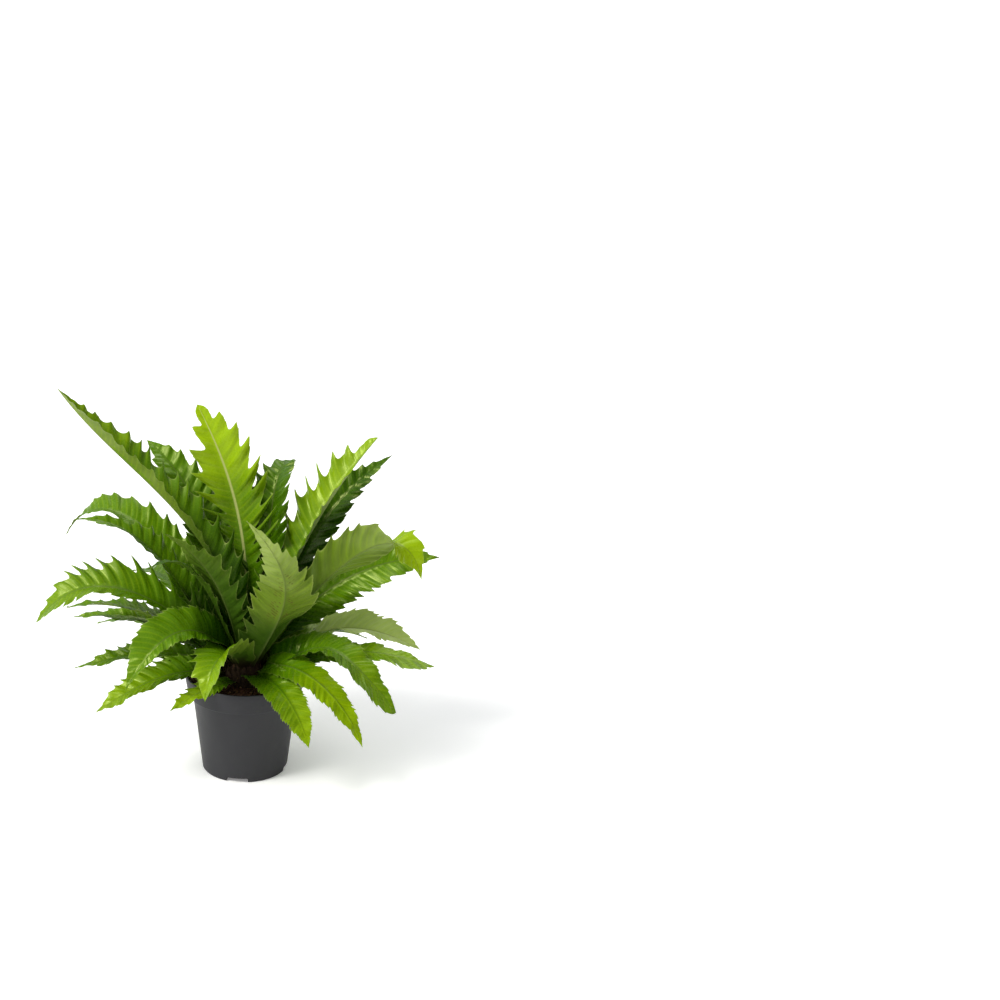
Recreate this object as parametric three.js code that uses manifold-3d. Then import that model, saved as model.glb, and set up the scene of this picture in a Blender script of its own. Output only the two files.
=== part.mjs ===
import * as THREE from 'three';
import { mergeVertices } from 'three/addons/utils/BufferGeometryUtils.js';
import Module from 'manifold-3d';

// A bird's nest fern in a round nursery pot. Millimetres, +Z up, the origin in the middle of the pot's
// flat underside. Headings are degrees from +X towards +Y.

// Pot: a thin-walled cone with a wider collar, and four notches round its foot with a drain hole in each
const rimRadius = 60;
const rimHeight = 104;
const lipRound = 0.7;
const collarFoot = { radius: 57.2, height: 82.6 };
const collarInside = { radius: 58, height: 84.4 };
const bodyTop = { radius: 52.5, height: 81.6 };
const baseRadius = 43;
const baseChamfer = 1.2;
const wall = 1.5;
const floorThickness = 2;
const potSides = 48;
const notch = { count: 4, firstHeading: -11, width: 22, height: 4.5, reach: 11, overrun: 6 };
const drain = { radius: 4, sides: 16, inset: 5.5 };

// Peat and the short rootstock that stands in it
const fit = 0.3;
const peatHeight = 96;
const peatSides = 48;
const peatRings = [26, 33, 41, 48];
const peatBump = { height: 0.9, along: 0.31, across: 0.27, turn: 0.13 };
const rootstock = { height: 93, radius: 24, foot: 88, footRadius: 20, rings: 6, sides: 20 };

// Fronds: stems start inside the rootstock's crown, at this radius from its middle
const stemStart = 20;
const stemReach = 0.42;
const stemWidth = 0.09;
const blade = { thickness: 0.8, keel: 1.5, keelEnd: 0.25, tipWidth: 0.5 };
const teethSpan = { from: 0.16, to: 0.975, lean: 1.12, swing: 0.3, swingTurn: 2.4 };
const wave = { height: 1.3, turn: 1.9, sideShift: 1.4 };
const foldChange = { atStem: 0.25, atTip: -0.5 };

// Where along a frond, from 0 at its foot to 1 at its point, each change begins and ends
const run = {
  swell: -0.02, keel: [0, 0.7], cut: [0, 0.3], roll: [0.05, 0.55], twist: [0.6, 1],
  stemFold: [0.1, 0.5], tipFold: [0.7, 1], waveIn: [0.15, 0.45], waveOut: [0.8, 1],
};
const frameSteps = 60;
const stemRows = 2;
const degrees = Math.PI / 180;
const quarterTurn = 90;
const fullTurn = 360;
const mergeDistance = 1e-4;

// Fronds from the outermost to the innermost. heading and rise say how the stem leaves the crown, tip where
// the point ends as [heading, distance from the pot's axis, height], and droop and turn how it points there.
// width is half the blade, widest at belly, and each half is lifted by fold into a V. roll turns the blade
// about its midrib, and twist its end alone. cut is the depth of the teeth, counted on one side.
const usual = {
  roll: 0, twist: 0, fold: 24, belly: 0.5, point: 1.6, reach: 0.36, arch: 1, cut: 0.25, teeth: 12,
};
const fronds = [
  { name: 'frond_01', heading: 78, rise: 22, tip: [78, 150, 74], droop: -50, width: 18, teeth: 11 },
  { name: 'frond_02', heading: 240, rise: 20, tip: [226, 105, 96], droop: -14, width: 20,
    roll: -12, fold: 10, belly: 0.45, cut: 0.3, teeth: 10 },
  { name: 'frond_03', heading: 112, rise: 22, tip: [110, 150, 72], droop: -50, width: 18, teeth: 11 },
  { name: 'frond_04', heading: 202, rise: 26, tip: [201, 157, 86], droop: -26, width: 20, roll: -10 },
  { name: 'frond_05', heading: 298, rise: 32, tip: [300, 124, 70], droop: -62, width: 21,
    roll: 8, fold: 12, belly: 0.4, cut: 0.18, teeth: 14 },
  { name: 'frond_06', heading: 322, rise: 38, tip: [319, 156, 69], droop: -64, width: 18,
    roll: 4, fold: 4, belly: 0.42, cut: 0.2, teeth: 13 },
  { name: 'frond_07', heading: 338, rise: 50, tip: [331, 166, 98], droop: -56, width: 21,
    roll: 2, fold: 18, belly: 0.42, cut: 0.2, teeth: 14, arch: 1.06 },
  { name: 'frond_08', heading: 146, rise: 28, tip: [148, 180, 116], droop: -25, width: 20 },
  { name: 'frond_09', heading: 58, rise: 30, tip: [62, 182, 108], droop: -25, width: 21 },
  { name: 'frond_10', heading: 184, rise: 34, tip: [181, 170, 110], droop: -14, width: 17, roll: -15 },
  { name: 'frond_11', heading: 350, rise: 24, tip: [349, 192, 125], droop: -16, width: 22,
    roll: 5, teeth: 13, fold: 14 },
  { name: 'frond_12', heading: 30, rise: 34, tip: [32, 150, 104], droop: -32, width: 20, teeth: 11 },
  { name: 'frond_13', heading: 250, rise: 60, tip: [247, 99, 113], droop: -75, width: 24,
    fold: 14, belly: 0.42, cut: 0.3, teeth: 10, arch: 1.22, reach: 0.45 },
  { name: 'frond_14', heading: 168, rise: 38, tip: [172, 173, 146], droop: -10, width: 18, roll: -5 },
  { name: 'frond_15', heading: 1, rise: 49, tip: [4, 178, 126], droop: -34, width: 22,
    arch: 1.1, roll: -50 },
  { name: 'frond_16', heading: 224.8, rise: 63.8, tip: [213, 138, 119], droop: -62, width: 21,
    roll: -34, arch: 1.38, reach: 0.42 },
  { name: 'frond_17', heading: 98, rise: 40, tip: [97, 196, 132], droop: -25, width: 22 },
  { name: 'frond_18', heading: 188, rise: 44, tip: [178, 177, 175], droop: -14, width: 20 },
  { name: 'frond_19', heading: 128, rise: 42, tip: [128, 192, 152], droop: -25, width: 22 },
  { name: 'frond_20', heading: 22, rise: 52, tip: [8, 198, 216], droop: -5, width: 28,
    roll: 40, teeth: 13 },
  { name: 'frond_21', heading: 48, rise: 44, tip: [46, 180, 160], droop: -30, width: 23 },
  { name: 'frond_22', heading: 197, rise: 53.3, tip: [190, 206, 174], droop: -55, width: 25,
    arch: 1.21, roll: -26, teeth: 14 },
  { name: 'frond_23', heading: 334, rise: 60.2, tip: [340, 183, 229], droop: -82, width: 30,
    reach: 0.5, roll: -49, twist: 91, fold: 20, teeth: 14, belly: 0.69 },
  { name: 'frond_24', heading: 176, rise: 55, tip: [175, 167, 263], droop: -4, width: 22,
    roll: -10, fold: 28, teeth: 13 },
  { name: 'frond_25', heading: 205, rise: 72, tip: [198, 99, 228], droop: -30, width: 13,
    fold: 14, teeth: 10 },
  { name: 'frond_26', heading: 147, rise: 62, tip: [152, 206, 215], droop: -62, width: 23,
    arch: 1.24, roll: -6, teeth: 14 },
  { name: 'frond_27', heading: 74, rise: 56, tip: [84, 160, 210], droop: -10, width: 22 },
  { name: 'frond_28', heading: 118, rise: 50, tip: [114, 160, 226], droop: 0, width: 24 },
  { name: 'frond_29', heading: 118, rise: 67, tip: [138, 141, 317], droop: 22, width: 28,
    roll: -5, cut: 0.3, teeth: 14 },
  { name: 'frond_30', heading: 237, rise: 75, tip: [216, 95, 275], droop: 36, width: 21,
    roll: -5, fold: 16, teeth: 11 },
  { name: 'frond_31', heading: 171, rise: 75, tip: [168, 186, 390], droop: 46, width: 30,
    twist: -30, fold: 30, teeth: 16, reach: 0.32 },
  { name: 'frond_32', heading: 42, rise: 59, tip: [30, 173, 305], droop: 22, width: 26,
    roll: 15, cut: 0.3, teeth: 14 },
  { name: 'frond_33', heading: 358, rise: 70, tip: [16, 137, 341], droop: 48, width: 28,
    roll: 40, fold: 20, cut: 0.4, teeth: 14 },
  { name: 'frond_34', heading: 42, rise: 67, tip: [62, 95, 302], droop: -25, width: 27,
    roll: 12, teeth: 13 },
  { name: 'frond_35', heading: 305.3, rise: 70, tip: [278, 84, 293], droop: 40, width: 26,
    turn: 214, reach: 0.42, twist: -105, fold: 14, cut: 0.3, teeth: 13, roll: -38 },
  { name: 'frond_36', heading: 74, rise: 80, tip: [124, 85, 364], droop: 58, width: 35,
    turn: 150, roll: 10, belly: 0.68, point: 2.4, cut: 0.42, teeth: 15 },
].map((frond) => ({ ...usual, ...frond }));

const wasm = await Module();
wasm.setup();

// Geometry to a solid and back

function solidFrom(geometry) {
  const bare = geometry.clone();
  bare.deleteAttribute('normal');
  bare.deleteAttribute('uv');
  const merged = mergeVertices(bare, mergeDistance);
  const vertProperties = merged.attributes.position.array;
  const triVerts = new Uint32Array(merged.index.array);
  const made = new wasm.Manifold(new wasm.Mesh({ numProp: 3, vertProperties, triVerts }));
  if (made.volume() > 0) return made;
  return new wasm.Manifold(new wasm.Mesh({ numProp: 3, vertProperties, triVerts: triVerts.reverse() }));
}

function geometryFrom(solid) {
  const mesh = solid.getMesh();
  const positions = [];
  for (let v = 0; v < mesh.numVert; v++) {
    positions.push(...mesh.vertProperties.subarray(v * mesh.numProp, v * mesh.numProp + 3));
  }
  const geometry = new THREE.BufferGeometry();
  geometry.setAttribute('position', new THREE.Float32BufferAttribute(positions, 3));
  geometry.setIndex([...mesh.triVerts]);
  return geometry;
}

// A profile of [radius, height] pairs turned round the pot's axis
function turned(profile, sides) {
  const points = profile.map(([radius, height]) => new THREE.Vector2(radius, height));
  return new THREE.LatheGeometry(points, sides).rotateX(Math.PI / 2);
}

// Pot

function notchSolid(notchNumber, grow) {
  const length = notch.reach + notch.overrun + grow;
  const height = notch.height + notch.overrun + grow;
  const box = new THREE.BoxGeometry(length, notch.width + 2 * grow, height);
  box.translate(baseRadius - notch.reach - grow + length / 2, 0, notch.height + grow - height / 2);
  box.rotateZ((notch.firstHeading + (notchNumber * fullTurn) / notch.count) * degrees);
  return solidFrom(box);
}

function drainSolid(notchNumber) {
  const length = notch.height + wall + 2 * notch.overrun;
  const hole = new THREE.CylinderGeometry(drain.radius, drain.radius, length, drain.sides);
  hole.rotateX(Math.PI / 2);
  hole.translate(baseRadius - drain.inset, 0, notch.height);
  hole.rotateZ((notch.firstHeading + (notchNumber * fullTurn) / notch.count) * degrees);
  return solidFrom(hole);
}

// The inside of the pot up to the foot of its collar, drawn in by a margin
function potInside(margin) {
  return [
    [0, floorThickness + margin],
    [baseRadius - wall - margin, floorThickness + margin],
    [bodyTop.radius - wall - margin, bodyTop.height + margin],
    [collarInside.radius - wall - margin, collarInside.height + margin],
  ];
}

function potSolid() {
  const outside = [
    [0, 0],
    [baseRadius - baseChamfer, 0],
    [baseRadius, baseChamfer],
    [bodyTop.radius, bodyTop.height],
    [collarFoot.radius, collarFoot.height],
    [rimRadius, rimHeight - 2 * lipRound],
    [rimRadius, rimHeight - lipRound],
    [rimRadius - lipRound, rimHeight],
    [rimRadius - wall - lipRound, rimHeight],
    [rimRadius - wall - 2 * lipRound, rimHeight - lipRound],
    [0, rimHeight - lipRound],
  ];
  const above = rimHeight + notch.overrun;
  const mouth = [rimRadius - wall - 2 * lipRound, rimHeight - lipRound];
  let body = solidFrom(turned(outside, potSides));
  let cavity = solidFrom(turned([...potInside(0), mouth, [mouth[0], above], [0, above]], potSides));
  for (let n = 0; n < notch.count; n++) {
    body = body.subtract(notchSolid(n, 0));
    cavity = cavity.subtract(notchSolid(n, wall));
  }
  let pot = body.subtract(cavity);
  for (let n = 0; n < notch.count; n++) pot = pot.subtract(drainSolid(n));
  return pot;
}

// Rootstock: a low dome sunk in the peat

function domeProfile(margin) {
  const profile = [
    [0, rootstock.foot - margin],
    [rootstock.footRadius + margin, rootstock.foot - margin],
  ];
  for (let ring = 0; ring <= rootstock.rings; ring++) {
    const angle = ((quarterTurn * ring) / rootstock.rings) * degrees;
    const radius = rootstock.radius + margin;
    profile.push([radius * Math.cos(angle), rootstock.height + radius * Math.sin(angle)]);
  }
  profile[profile.length - 1][0] = 0;
  return profile;
}

// Peat: fills the pot to below the rim, with a slightly uneven top

function peatSolid() {
  const side = potInside(fit);
  const topRadius = THREE.MathUtils.mapLinear(
    peatHeight, collarInside.height, rimHeight, collarInside.radius, rimRadius - 2 * lipRound) - wall - fit;
  const top = peatRings.map((radius) => [radius, peatHeight]).reverse();
  const geometry = turned([...side, [topRadius, peatHeight], ...top, [0, peatHeight]], peatSides);
  const position = geometry.attributes.position;
  for (let v = 0; v < position.count; v++) {
    const [x, y, z] = [position.getX(v), position.getY(v), position.getZ(v)];
    if (z < peatHeight - fit || Math.hypot(x, y) > topRadius - fit) continue;
    const bump = Math.sin(peatBump.along * x + peatBump.turn * y) * Math.cos(peatBump.across * y);
    position.setZ(v, z + peatBump.height * bump);
  }
  let peat = solidFrom(geometry);
  for (let n = 0; n < notch.count; n++) peat = peat.subtract(notchSolid(n, wall + fit));
  return peat.subtract(solidFrom(turned(domeProfile(fit), rootstock.sides)));
}

// Fronds

function heading(degreesRound, pitch) {
  const level = Math.cos(pitch * degrees);
  return new THREE.Vector3(
    Math.cos(degreesRound * degrees) * level,
    Math.sin(degreesRound * degrees) * level,
    Math.sin(pitch * degrees),
  );
}

// A smooth step up from 0 to 1 between two places
function grown(t, [from, to]) {
  return THREE.MathUtils.smoothstep(t, from, to);
}

// The midrib, with a frame at every step: along it, across the blade, and out of the upper face
class Midrib {
  constructor(frond) {
    this.frond = frond;
    const start = heading(frond.heading, frond.rise);
    const base = start.clone().multiplyScalar(stemStart).add(new THREE.Vector3(0, 0, rootstock.height));
    const [tipHeading, distance, height] = frond.tip;
    const tip = heading(tipHeading, 0).multiplyScalar(distance).setZ(height);
    const end = heading(frond.turn ?? tipHeading, frond.droop);
    this.length = base.distanceTo(tip) * frond.arch;
    this.curve = new THREE.CubicBezierCurve3(
      base,
      base.clone().addScaledVector(start, stemReach * this.length),
      tip.clone().addScaledVector(end, -frond.reach * this.length),
      tip,
    );
    const level = heading(frond.heading + quarterTurn, 0);
    let out = new THREE.Vector3().crossVectors(this.along(0), level);
    this.outs = [];
    for (let step = 0; step <= frameSteps; step++) {
      const along = this.along(step / frameSteps);
      out = out.clone().addScaledVector(along, -out.dot(along)).normalize();
      this.outs.push(out);
    }
  }

  along(t) {
    const { v0, v1, v2, v3 } = this.curve;
    const s = 1 - t;
    return new THREE.Vector3()
      .addScaledVector(v0, -s * s)
      .addScaledVector(v1, s * s - 2 * s * t)
      .addScaledVector(v2, 2 * s * t - t * t)
      .addScaledVector(v3, t * t)
      .normalize();
  }

  at(t) {
    const along = this.along(t);
    const place = THREE.MathUtils.clamp(t, 0, 1) * frameSteps;
    const low = Math.min(Math.floor(place), frameSteps - 1);
    const out = this.outs[low].clone().lerp(this.outs[low + 1], place - low);
    out.addScaledVector(along, -out.dot(along)).normalize();
    const roll = this.frond.roll * grown(t, run.roll) + this.frond.twist * grown(t, run.twist);
    out.applyAxisAngle(along, roll * degrees);
    const across = new THREE.Vector3().crossVectors(out, along);
    return { middle: this.curve.getPoint(t), along, across, out };
  }
}

function halfWidth(frond, t) {
  const swell = stemWidth + (1 - stemWidth) * grown(t, [run.swell, frond.belly]);
  const past = THREE.MathUtils.clamp((t - frond.belly) / (1 - frond.belly), 0, 1);
  return Math.max(frond.width * swell * (1 - past ** frond.point), blade.tipWidth);
}

function foldAngle(frond, t) {
  const nearStem = foldChange.atStem * (1 - grown(t, run.stemFold));
  const nearTip = foldChange.atTip * grown(t, run.tipFold);
  return frond.fold * (1 + nearStem + nearTip) * degrees;
}

// A point of the blade's middle surface, this share of the half width from the midrib
function bladePoint(midrib, t, side, share, lift) {
  const { middle, across, out } = midrib.at(t);
  const fold = foldAngle(midrib.frond, t);
  const from = halfWidth(midrib.frond, t) * share;
  return middle
    .addScaledVector(across, side * from * Math.cos(fold))
    .addScaledVector(out, from * Math.sin(fold) + lift);
}

// How far a margin waves up or down, out of step with the other margin and with the other fronds
function waveAt(frond, t, side) {
  const height = wave.height * grown(t, run.waveIn) * (1 - grown(t, run.waveOut));
  return height * Math.sin(frond.teeth * wave.turn * t + frond.heading + side * wave.sideShift);
}

// A closed ribbon over the given rows. Each row holds a left edge, the midrib and a right edge, and every
// toothed step adds a point on each side that leans towards the tip.
function ribbon(midrib, rows, grow) {
  const { frond } = midrib;
  const upper = [];
  const lower = [];
  const push = (t, side, share, lift, depth) => {
    const half = blade.thickness / 2 + grow;
    const { out, across } = midrib.at(t);
    const point = bladePoint(midrib, t, side, share, lift).addScaledVector(across, side * grow);
    upper.push(point.clone().addScaledVector(out, half));
    lower.push(point.addScaledVector(out, -half - depth));
    return upper.length - 1;
  };
  const grid = rows.map((row) => {
    const keel = blade.keelEnd + blade.keel * (1 - grown(row.t, run.keel));
    return {
      left: push(row.t, -1, row.notch, waveAt(frond, row.t, -1), 0),
      rib: push(row.t, 0, 0, 0, keel),
      right: push(row.t, 1, row.notch, waveAt(frond, row.t, 1), 0),
    };
  });
  const faces = [];
  const walls = [];
  grid.slice(0, -1).forEach((row, n) => {
    const next = grid[n + 1];
    faces.push([row.rib, row.right, next.right], [row.rib, next.right, next.rib]);
    faces.push([row.left, row.rib, next.rib], [row.left, next.rib, next.left]);
    const point = rows[n].tooth;
    if (!point) {
      walls.push([row.right, next.right], [next.left, row.left]);
      return;
    }
    const right = push(point.t, 1, point.share, waveAt(frond, point.t, 1), 0);
    const left = push(point.t, -1, point.share, waveAt(frond, point.t, -1), 0);
    faces.push([row.right, right, next.right], [left, row.left, next.left]);
    walls.push([row.right, right], [right, next.right], [next.left, left], [left, row.left]);
  });
  const first = grid[0];
  const last = grid[grid.length - 1];
  walls.push([first.left, first.rib], [first.rib, first.right]);
  walls.push([last.rib, last.left], [last.right, last.rib]);
  const under = upper.length;
  const index = [];
  faces.forEach(([a, b, c]) => index.push(a, c, b, under + a, under + b, under + c));
  walls.forEach(([a, b]) => index.push(a, under + b, under + a, a, b, under + b));
  const geometry = new THREE.BufferGeometry().setFromPoints([...upper, ...lower]);
  geometry.setIndex(index);
  return geometry;
}

// The rows of a frond's ribbon: the plain stem, a notch and a leaning tooth at each step, and the point
function bladeRows(frond) {
  const rows = [];
  for (let n = 0; n < stemRows; n++) rows.push({ t: (teethSpan.from * n) / stemRows, notch: 1 });
  const step = (teethSpan.to - teethSpan.from) / frond.teeth;
  for (let n = 0; n < frond.teeth; n++) {
    const t = teethSpan.from + n * step;
    const swing = 1 + teethSpan.swing * Math.sin(teethSpan.swingTurn * n + frond.heading);
    const notchShare = 1 - frond.cut * swing * grown(t, run.cut);
    rows.push({ t, notch: notchShare, tooth: { t: t + teethSpan.lean * step, share: 1 } });
  }
  return [...rows, { t: teethSpan.to, notch: 1 - frond.cut }, { t: 1, notch: 1 }];
}

// The hole that a stem stands in, a little wider than the stem and open at the rootstock's surface
function socketSolid(midrib) {
  const rows = [-fit / midrib.length, teethSpan.from / stemRows].map((t) => ({ t, notch: 1 }));
  return solidFrom(ribbon(midrib, rows, fit));
}

// Assembly

const plastic = new THREE.MeshStandardMaterial({ color: 0x4a4a4c, roughness: 0.55, metalness: 0 });
const peatBrown = new THREE.MeshStandardMaterial({ color: 0x3a2114, roughness: 1, metalness: 0 });
const scaleBrown = new THREE.MeshStandardMaterial({ color: 0x2b2415, roughness: 0.9, metalness: 0 });
const youngGreen = { color: 0x86b814, roughness: 0.4 };
const oldGreen = { color: 0x3f7d0c, roughness: 0.4 };

const plant = new THREE.Group();
plant.name = 'potted_fern';

function addMesh(name, geometry, material) {
  const mesh = new THREE.Mesh(geometry, material);
  mesh.name = name;
  plant.add(mesh);
}

addMesh('pot', geometryFrom(potSolid()), plastic);
addMesh('peat', geometryFrom(peatSolid()), peatBrown);
let crown = solidFrom(turned(domeProfile(0), rootstock.sides));
fronds.forEach((frond, n) => {
  const midrib = new Midrib(frond);
  crown = crown.subtract(socketSolid(midrib));
  const leaf = new THREE.MeshStandardMaterial({ ...oldGreen, metalness: 0 });
  leaf.color.lerp(new THREE.Color(youngGreen.color), n / fronds.length);
  addMesh(frond.name, ribbon(midrib, bladeRows(frond), 0), leaf);
});
addMesh('rootstock', geometryFrom(crown), scaleBrown);

export default plant;
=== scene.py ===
# Bird's nest fern in a round nursery pot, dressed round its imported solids. Metres, +Z up, headings in
# degrees from +X towards +Y. Sizes that a person would think of in millimetres are written times mm.
import math

import bmesh
import bpy
import numpy as np
from mathutils import Matrix, Vector
from mathutils import noise as cloud


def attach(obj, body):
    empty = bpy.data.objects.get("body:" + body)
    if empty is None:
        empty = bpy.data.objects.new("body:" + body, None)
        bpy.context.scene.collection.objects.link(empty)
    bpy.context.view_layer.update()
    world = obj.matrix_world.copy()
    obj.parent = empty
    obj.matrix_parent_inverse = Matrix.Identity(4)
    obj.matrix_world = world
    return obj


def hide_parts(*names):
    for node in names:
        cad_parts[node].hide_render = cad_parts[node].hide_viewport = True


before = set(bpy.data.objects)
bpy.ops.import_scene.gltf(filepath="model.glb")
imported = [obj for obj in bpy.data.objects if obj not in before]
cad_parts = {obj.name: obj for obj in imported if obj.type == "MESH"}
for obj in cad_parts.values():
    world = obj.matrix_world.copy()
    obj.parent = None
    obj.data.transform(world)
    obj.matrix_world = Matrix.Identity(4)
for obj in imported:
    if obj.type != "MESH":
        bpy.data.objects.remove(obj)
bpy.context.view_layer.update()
mm = 0.001
print("frame: %d nodes" % len(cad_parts))

# Camera: stands 2.5 m off, straight in front of the plant, and looks down to a point on its right
cameraSpot = {
    "place": (0, -2.27502, 1.14559),
    "right": (0.99466176, -0.09656474, 0.03637632),
    "up": (0, 0.35252106, 0.93580388),
    "back": (-0.10318908, -0.93080833, 0.35063922),
    "lens": 88.488,
    "sensor": 36,
}

studio = {
    "floorColour": (0.96, 0.96, 0.955),
    "floorClouds": (0.84, 0.84, 0.83),
    "floorGlow": 0.2,
    "floorSize": 40,
    "sky": (0.95, 0.97, 1.0),
    "skyStrength": (0.95, 0.1),  # on the left, at -X, and on the right
    # name, where the light comes from, how wide it is in degrees, strength, colour
    "suns": (
        ("keyLight", (-1.0, -0.5, 1.2), 24, 2.9, (1.0, 0.985, 0.95)),
        ("backLight", (0.35, 0.8, 1.3), 40, 1.0, (1.0, 1.0, 1.0)),
    ),
}


# Shader maths

class Wire:
    # A value inside a material. Arithmetic on it adds Math nodes.
    def __init__(self, finish, socket):
        self.finish = finish
        self.socket = socket

    def maths(self, operation, *values):
        sockets = {n: value for n, value in enumerate(values)}
        return self.finish.wire("ShaderNodeMath", {"operation": operation}, sockets)

    def __add__(self, other):
        return self.maths("ADD", self, other)

    def __radd__(self, other):
        return self.maths("ADD", other, self)

    def __sub__(self, other):
        return self.maths("SUBTRACT", self, other)

    def __rsub__(self, other):
        return self.maths("SUBTRACT", other, self)

    def __mul__(self, other):
        return self.maths("MULTIPLY", self, other)

    def __rmul__(self, other):
        return self.maths("MULTIPLY", other, self)

    def __pow__(self, other):
        return self.maths("POWER", self, other)

    def humps(self):
        # A sine wave from 0 to 1, with this value as its angle
        return self.maths("SINE", self) * 0.5 + 0.5

    def clamped(self):
        return self.maths("MINIMUM", self.maths("MAXIMUM", self, 0.0), 1.0)

    def step(self, low, high):
        # A smooth step from 0 at low to 1 at high
        settings = {"interpolation_type": "SMOOTHSTEP"}
        sockets = {"Value": self, "From Min": low, "From Max": high}
        return self.finish.wire("ShaderNodeMapRange", settings, sockets)


class Finish:
    # One material, built node by node
    def __init__(self, name):
        self.material = bpy.data.materials.new(name)
        self.material.use_nodes = True
        self.tree = self.material.node_tree
        self.tree.nodes.clear()

    def node(self, kind, settings=None, sockets=None):
        made = self.tree.nodes.new(kind)
        for name, value in (settings or {}).items():
            setattr(made, name, value)
        for name, value in (sockets or {}).items():
            if isinstance(value, Wire):
                self.tree.links.new(value.socket, made.inputs[name])
            else:
                made.inputs[name].default_value = value
        return made

    def wire(self, kind, settings=None, sockets=None, output=0):
        return Wire(self, self.node(kind, settings, sockets).outputs[output])

    def mix(self, share, first, second):
        # Sockets 0, 6 and 7 and output 2 are those of the Mix node's colours
        sockets = {0: share}
        for slot, colour in ((6, first), (7, second)):
            sockets[slot] = colour if isinstance(colour, Wire) else (*colour, 1)
        return self.wire("ShaderNodeMix", {"data_type": "RGBA"}, sockets, 2)

    def read(self, name):
        # A number kept at every point of the mesh
        return self.wire("ShaderNodeAttribute", {"attribute_name": name}, None, 2)

    def place(self, scale=(1, 1, 1)):
        # The point on the object, in metres, stretched along each axis
        spot = self.wire("ShaderNodeTexCoord", None, None, 3)
        return self.wire("ShaderNodeVectorMath", {"operation": "MULTIPLY"}, {0: spot, 1: scale})

    def noise(self, scale, detail=3.0, roughness=0.55, at=None):
        sockets = {"Scale": scale, "Detail": detail, "Roughness": roughness, "Vector": at or self.place()}
        return self.wire("ShaderNodeTexNoise", None, sockets)

    def bump(self, height, strength, distance, under=None):
        sockets = {"Height": height, "Strength": strength, "Distance": distance}
        if under is not None:
            sockets["Normal"] = under
        return self.wire("ShaderNodeBump", None, sockets)

    def principled(self, sockets):
        return self.wire("ShaderNodeBsdfPrincipled", None, sockets)

    def finished(self, surface):
        self.node("ShaderNodeOutputMaterial", None, {"Surface": surface})
        return self.material


# Meshes

def makePiece(name, verts, faces, materials, faceSlots=None, sharpAngle=None):
    mesh = bpy.data.meshes.new(name)
    mesh.from_pydata(verts, [], faces)
    for material in materials:
        mesh.materials.append(material)
    if faceSlots is not None:
        mesh.polygons.foreach_set("material_index", faceSlots)
    mesh.polygons.foreach_set("use_smooth", [True] * len(mesh.polygons))
    if sharpAngle is not None:
        mesh.set_sharp_from_angle(angle=math.radians(sharpAngle))
    mesh.update()
    piece = bpy.data.objects.new(name, mesh)
    bpy.context.scene.collection.objects.link(piece)
    return piece


def setNumbers(piece, name, values):
    attribute = piece.data.attributes.new(name, "FLOAT", "POINT")
    attribute.data.foreach_set("value", np.asarray(values, dtype=np.float32))


def smoothStep(values, low, high):
    share = np.clip((np.asarray(values, float) - low) / (high - low), 0, 1)
    return share * share * (3 - 2 * share)


# Fronds. Lengths are in millimetres, and angles in degrees.
# Course: heading and rise say how the stem leaves the crown, tip where the blade ends, as (heading, distance
# from the pot's axis, height), and droop and turn how it points there. arch makes it longer than the straight
# way, and reach is how far the point's direction tells, as a share of the length.
# Outline: width is half the blade, belly where along the midrib it is widest, foot how late it widens, and
# point and taper shape the way to the tip. cut is how deep the teeth are, as a share of the half width,
# deepLow how much deeper the low ones, and teeth how many a side has.
# Face: fold lifts each half into a V, roll turns the blade about its midrib, and twist its end alone, within
# twistSpan. pleat folds it at each tooth, ridged raises it between the side veins, and ruffle waves it.
# Colour: tone runs from dark green at 0 to lime at 1, tipTone is the same at the point, pale is how cream the
# midrib is, and fertile is 1 where spores show below.
# halves and lifts are for the left and the right half, seen from the pot: shares of width, and degrees added
# to fold. left and right hold values that only that half has.
crown = {"height": 93 * mm, "stemStart": 20 * mm}
usualFrond = dict(
    reach=0.36, arch=1, halves=(1, 1), belly=0.5, point=1.6, taper=1.15, foot=0.6, roll=0, twist=0,
    twistSpan=(0.6, 1), fold=24, lifts=(0, 0), cut=0.28, deepLow=0.3, teeth=13, pleat=0.05, ridged=1,
    ruffle=1.6, tone=0.4, tipTone=0.55, pale=0.2, fertile=0, left={}, right={},
)
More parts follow.
